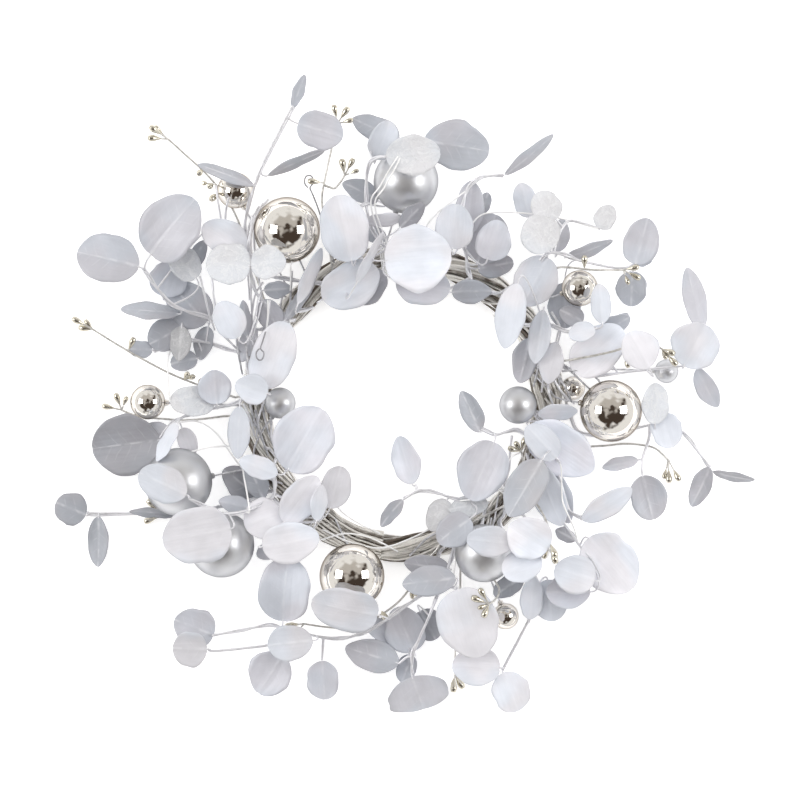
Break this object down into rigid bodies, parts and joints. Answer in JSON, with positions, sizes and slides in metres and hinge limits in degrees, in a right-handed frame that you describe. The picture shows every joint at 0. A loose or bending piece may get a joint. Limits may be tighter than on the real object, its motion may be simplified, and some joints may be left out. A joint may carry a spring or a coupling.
{
  "type": "eucalyptus wreath",
  "caption": "Round artificial eucalyptus wreath: a twisted vine ring dressed with silver and white leaf sprays, pip twigs and shiny baubles, to hang up or lay flat.",
  "frame": {"origin": "middle of the wreath's bounding box in plan, on the surface it lies on", "axes": "+Z out of the wreath's front towards the viewer, +Y towards its top when it hangs, +X to the viewer's right"},
  "size_m": [0.5054, 0.4602, 0.0777],
  "materials": {
    "silver_satin_leaf": "satin silver-grey artificial leaf with a soft sheen",
    "white_satin_leaf": "satin pearl-white artificial leaf, some with frost and glitter",
    "silvered_vine": "twisted vine twigs with a silver and champagne wash",
    "champagne_pip": "champagne-silver metallised pips on wrapped wire",
    "mirror_bauble": "metallised, mirror-bright",
    "satin_bauble": "metallised, satin"
  },
  "bodies": {
    "root": {"bauble_east_back": "mirror_bauble", "bauble_east_mirror": "mirror_bauble", "bauble_east_small": "satin_bauble", "bauble_inner_east": "satin_bauble", "bauble_inner_west": "satin_bauble", "bauble_north_satin": "satin_bauble", "bauble_northeast_small": "mirror_bauble", "bauble_northwest_mirror": "mirror_bauble", "bauble_northwest_small": "mirror_bauble", "bauble_south_mirror": "mirror_bauble", "bauble_south_satin": "satin_bauble", "bauble_south_small": "mirror_bauble", "bauble_southwest_satin": "satin_bauble", "bauble_west_satin": "satin_bauble", "bauble_west_small": "mirror_bauble", "pip_twig_east": "champagne_pip", "pip_twig_east_low": "champagne_pip", "pip_twig_hole": "champagne_pip", "pip_twig_north": "champagne_pip", "pip_twig_northeast": "champagne_pip", "pip_twig_northwest": "champagne_pip", "pip_twig_south": "champagne_pip", "pip_twig_south_front": "champagne_pip", "pip_twig_south_low": "champagne_pip", "pip_twig_southeast": "champagne_pip", "pip_twig_southwest": "champagne_pip", "pip_twig_west": "champagne_pip", "pip_twig_west_low": "champagne_pip", "spray_east": "silver_satin_leaf", "spray_east_inner": "silver_satin_leaf", "spray_east_low": "white_satin_leaf", "spray_east_reach": "silver_satin_leaf", "spray_hole": "silver_satin_leaf", "spray_north": "silver_satin_leaf", "spray_north_northeast": "silver_satin_leaf", "spray_north_northwest": "white_satin_leaf", "spray_north_reach": "silver_satin_leaf", "spray_northeast": "silver_satin_leaf", "spray_northeast_inner": "white_satin_leaf", "spray_northwest_inner": "silver_satin_leaf", "spray_northwest_outer": "silver_satin_leaf", "spray_south": "silver_satin_leaf", "spray_south_reach": "silver_satin_leaf", "spray_south_southeast": "white_satin_leaf", "spray_south_southwest": "white_satin_leaf", "spray_southeast": "silver_satin_leaf", "spray_southeast_inner": "white_satin_leaf", "spray_southwest_front": "white_satin_leaf", "spray_southwest_inner": "silver_satin_leaf", "spray_southwest_reach": "silver_satin_leaf", "spray_west": "silver_satin_leaf", "spray_west_back": "silver_satin_leaf", "spray_west_inner": "white_satin_leaf", "vine_ring": "silvered_vine"}
  },
  "joints": []
}
